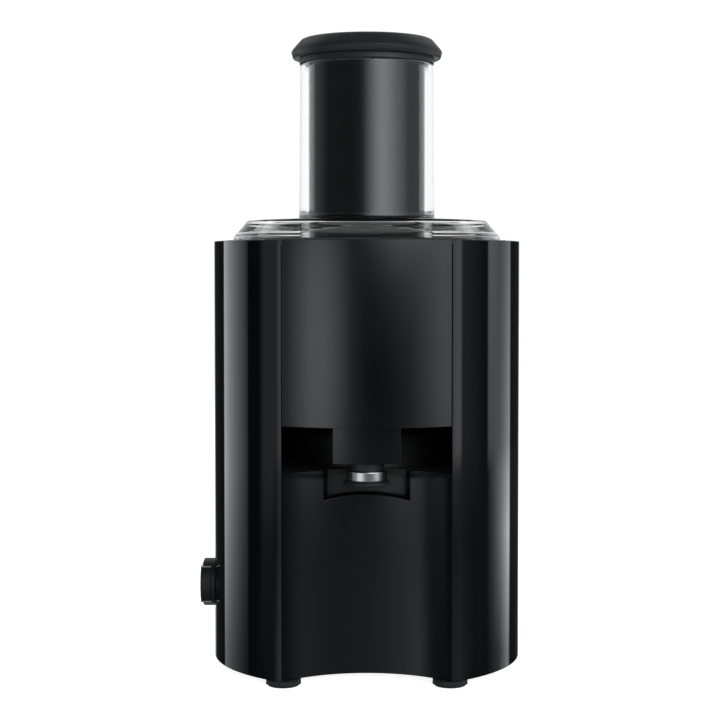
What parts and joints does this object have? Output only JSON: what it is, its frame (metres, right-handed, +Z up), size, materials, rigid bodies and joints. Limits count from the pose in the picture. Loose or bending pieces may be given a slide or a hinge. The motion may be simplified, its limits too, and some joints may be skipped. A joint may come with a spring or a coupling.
{
  "type": "centrifugal juicer",
  "caption": "Upright centrifugal juicer with a wide clear feed chute, lift-off lid and filter basket, rear pulp bin, drip-stop spout and side speed dial.",
  "frame": {"origin": "on the table under the feet, on the motor's vertical drive axis", "axes": "+Z up along the drive axis, -Y out of the front where the spout is, +X to the right seen from the front"},
  "size_m": [0.2027, 0.2824, 0.3947],
  "materials": {
    "gloss_black": "high gloss moulded black plastic",
    "satin_black": "fine satin moulded black plastic",
    "structure_black": "matte moulded black plastic",
    "clear_plastic": "clear moulded plastic",
    "pusher_black": "gloss black plastic",
    "soft_black": "soft matte black plastic",
    "satin_chrome": "satin chrome plating",
    "rubber": "matte black rubber",
    "silicone": "translucent grey silicone",
    "steel": "stainless steel",
    "lamination": "stacked electrical steel",
    "copper": "enamelled copper",
    "carbon": "pressed carbon",
    "nylon": "grey nylon",
    "bracket_alloy": "cast alloy",
    "board_green": "glass-fibre board with solder resist",
    "switch_plastic": "moulded component plastic"
  },
  "bodies": {
    "housing": {"housing_shell": "gloss_black", "front_panel": "satin_black", "motor_deck": "structure_black", "base_plate": "structure_black", "rubber_feet": "rubber", "base_screws": "steel", "deck_screws": "steel", "cord_gland": "rubber", "lower_bracket": "bracket_alloy", "upper_bracket": "bracket_alloy", "lower_bearing": "steel", "upper_bearing": "steel", "shaft_seal": "rubber", "stator_core": "lamination", "field_coils": "copper", "motor_screws": "steel", "motor_mounts": "rubber", "carbon_brushes": "carbon", "brush_holders": "nylon", "latch_pins": "steel", "switch_body": "switch_plastic", "control_board": "board_green", "board_parts": "switch_plastic", "interlock_switch": "switch_plastic"},
    "rotor": {"motor_shaft": "steel", "rotor_core": "lamination", "rotor_windings": "copper", "commutator": "copper", "cooling_fan": "nylon", "drive_coupling": "nylon"},
    "basket": {"basket_frame": "nylon", "grater_disc": "steel", "filter_mesh": "steel", "basket_rim": "steel"},
    "collector": {"juice_collector": "satin_black", "collector_fascia": "satin_black"},
    "nozzle": {"spout_nozzle": "soft_black", "spout_ring": "satin_chrome", "nozzle_seal": "rubber"},
    "lid": {"lid_cover": "clear_plastic", "lid_seal": "silicone"},
    "pusher": {"pusher_tube": "pusher_black", "pusher_cap": "soft_black"},
    "pulp_bin": {"pulp_container": "gloss_black", "bin_handle": "soft_black"},
    "knob": {"knob_body": "soft_black", "knob_grip": "soft_black", "knob_trim": "satin_chrome", "knob_shaft": "switch_plastic"},
    "latch_left": {"latch_left": "gloss_black"},
    "latch_right": {"latch_right": "gloss_black"}
  },
  "joints": [
    {"name": "rotor_spin", "type": "hinge", "parent": "housing", "child": "rotor", "pos_m": [0, 0, 0.1], "axis": [0, 0, 1], "continuous": true},
    {"name": "lid_lift", "type": "slide", "parent": "housing", "child": "lid", "axis": [0, 0, 1], "range_m": [0, 0.2]},
    {"name": "collector_lift", "type": "slide", "parent": "housing", "child": "collector", "axis": [0, 0, 1], "range_m": [0, 0.06]},
    {"name": "basket_lift", "type": "slide", "parent": "rotor", "child": "basket", "axis": [0, 0, 1], "range_m": [0, 0.12]},
    {"name": "pusher_slide", "type": "slide", "parent": "lid", "child": "pusher", "axis": [0, 0, 1], "range_m": [0, 0.15]},
    {"name": "pulp_bin_slide", "type": "slide", "parent": "housing", "child": "pulp_bin", "axis": [0, 1, 0], "range_m": [0, 0.12]},
    {"name": "nozzle_slide", "type": "slide", "parent": "collector", "child": "nozzle", "axis": [0, 0, 1], "range_m": [0, 0.0045]},
    {"name": "knob_turn", "type": "hinge", "parent": "housing", "child": "knob", "pos_m": [-0.1, 0, 0.049], "axis": [-1, 0, 0], "range_deg": [0, 90]},
    {"name": "latch_left_swing", "type": "hinge", "parent": "housing", "child": "latch_left", "pos_m": [-0.08981, 0.047, 0.205], "axis": [0, -1, 0], "range_deg": [0, 60]},
    {"name": "latch_right_swing", "type": "hinge", "parent": "housing", "child": "latch_right", "pos_m": [0.08981, 0.047, 0.205], "axis": [0, 1, 0], "range_deg": [0, 60]}
  ],
  "couplings": [
    {"joint": "collector_lift", "follows": "lid_lift", "ratio": 0.3},
    {"joint": "basket_lift", "follows": "lid_lift", "ratio": 0.6}
  ]
}
